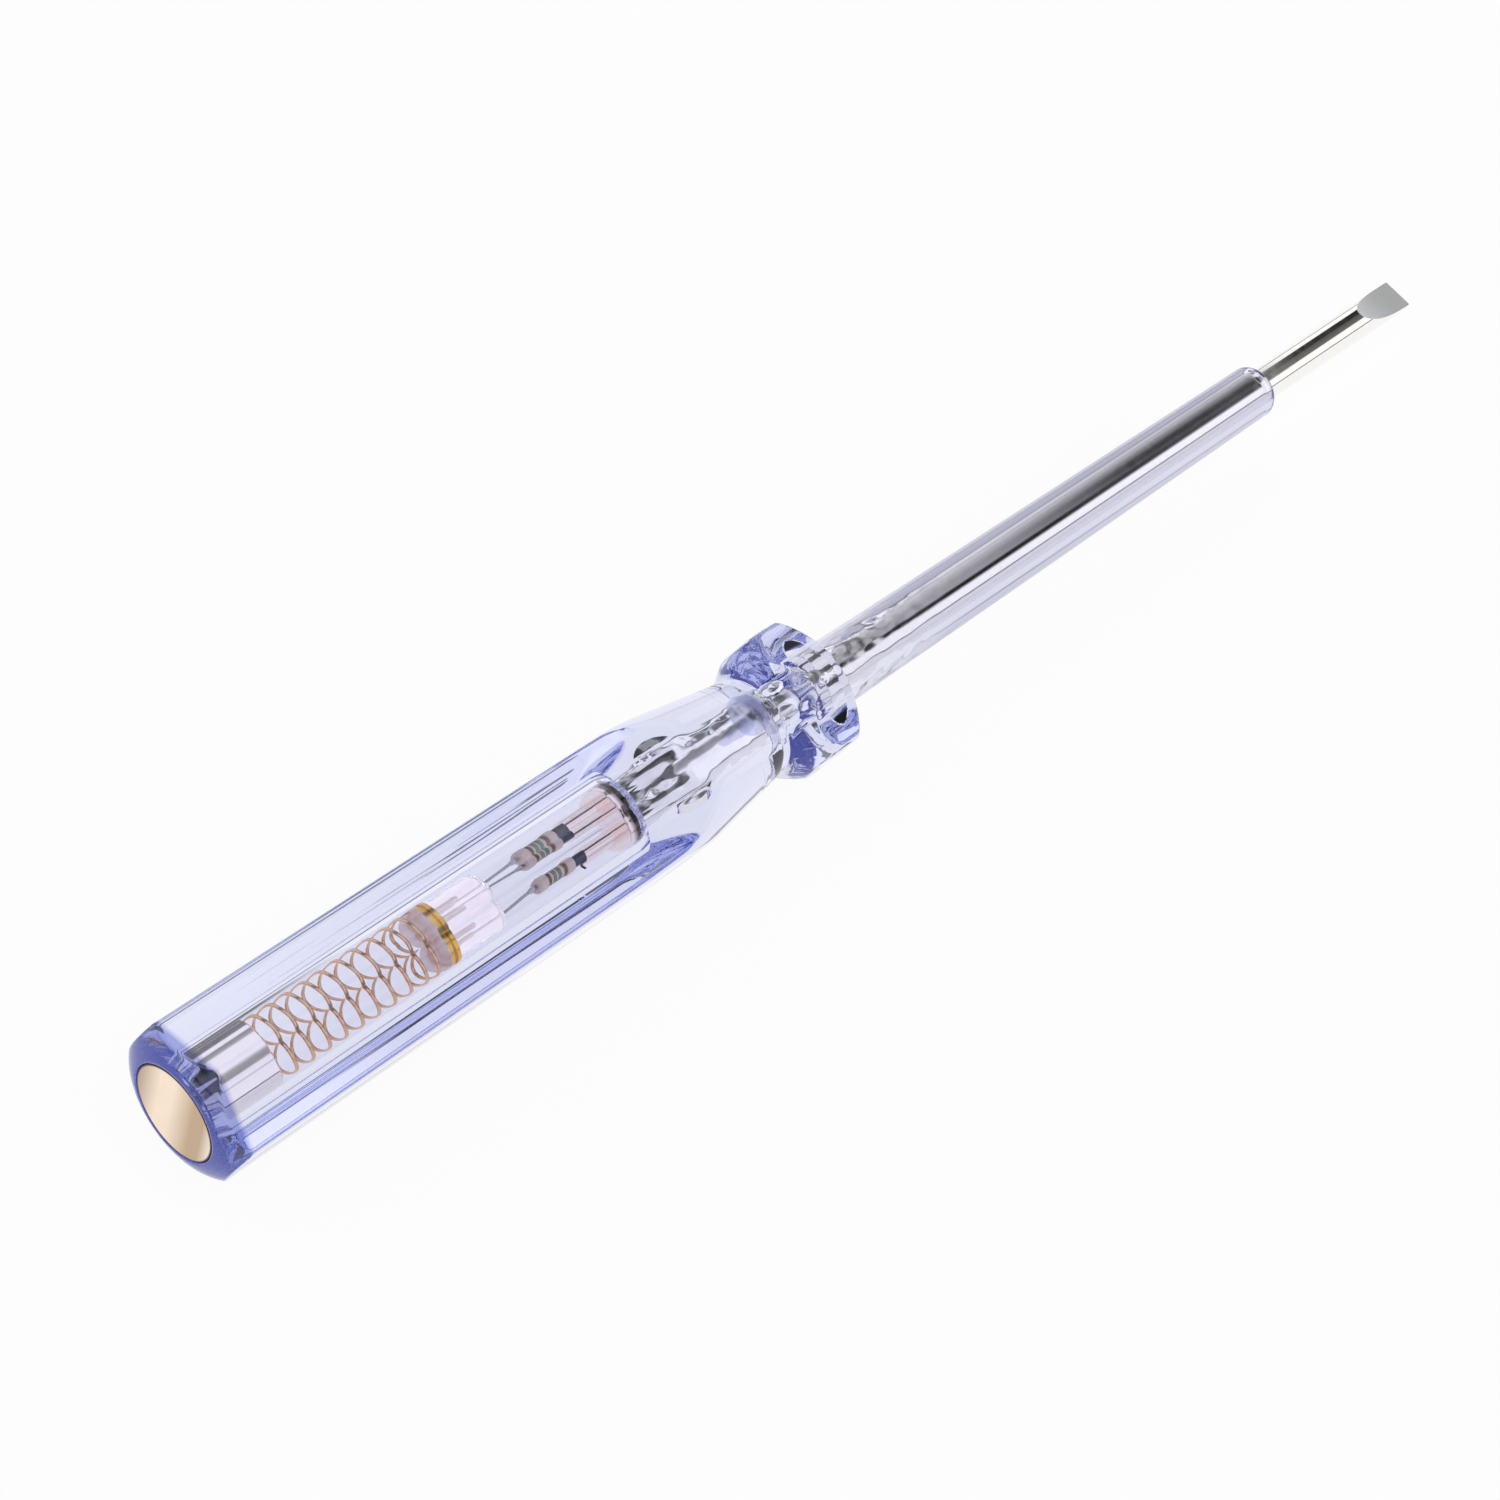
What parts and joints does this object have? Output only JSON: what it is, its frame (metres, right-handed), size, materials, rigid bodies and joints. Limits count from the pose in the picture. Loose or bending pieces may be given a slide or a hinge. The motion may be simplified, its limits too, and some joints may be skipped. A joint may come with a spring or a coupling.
{
  "type": "voltage tester screwdriver",
  "caption": "Clear-handled voltage tester screwdriver with a touch cap, spring, neon lamp and resistor in its hexagonal handle and a sleeved flat blade",
  "frame": {"origin": "the centre of the touch face at the rear of the handle, on the tool's axis", "axes": "+X runs along the tool from the touch cap to the blade tip, +Z is the normal of the handle's upper flat, Y crosses the handle from corner to corner"},
  "size_m": [0.19, 0.0164, 0.0145],
  "materials": {
    "clear_plastic": "polished clear, pale violet-blue",
    "plated_steel": "bright nickel plate, ground flats at the tip",
    "brass": "fine turned and brushed",
    "nickel": "bright plate",
    "spring_wire": "bright drawn wire",
    "gilt_brass": "bright",
    "lamp_glass": "clear drawn glass",
    "electrode": "grey coated",
    "tinned_wire": "tinned",
    "solder": "satin",
    "resistor_coat": "lacquered",
    "band_brown": "painted",
    "band_grey_green": "painted",
    "band_green": "painted",
    "band_red_brown": "painted",
    "navy_sleeve": "shrunk on",
    "copper": "bright copper",
    "dark_wire": "tarnished"
  },
  "bodies": {
    "tool": {"handle": "clear_plastic", "blade_shaft": "plated_steel", "touch_cap": "brass", "cap_barrel": "nickel", "contact_spring": "spring_wire"},
    "lamp_stack": {"lamp_cap": "gilt_brass", "lamp_glass": "lamp_glass", "electrode_rear": "electrode", "electrode_front": "electrode", "lamp_lead": "tinned_wire", "solder_joint": "solder", "resistor_body": "resistor_coat", "resistor_band_1": "band_brown", "resistor_band_2": "band_grey_green", "resistor_band_3": "band_green", "resistor_band_4": "band_red_brown", "resistor_lead": "tinned_wire", "insulating_sleeve": "navy_sleeve", "front_contact": "copper", "lead_tail": "dark_wire"}
  },
  "joints": [
    {"name": "lamp_stack_slide", "type": "slide", "parent": "tool", "child": "lamp_stack", "axis": [-1, 0, 0], "range_m": [0, 0.015], "stiffness_N_per_m": 86, "springref_m": -0.005, "deforming": ["contact_spring"]}
  ]
}
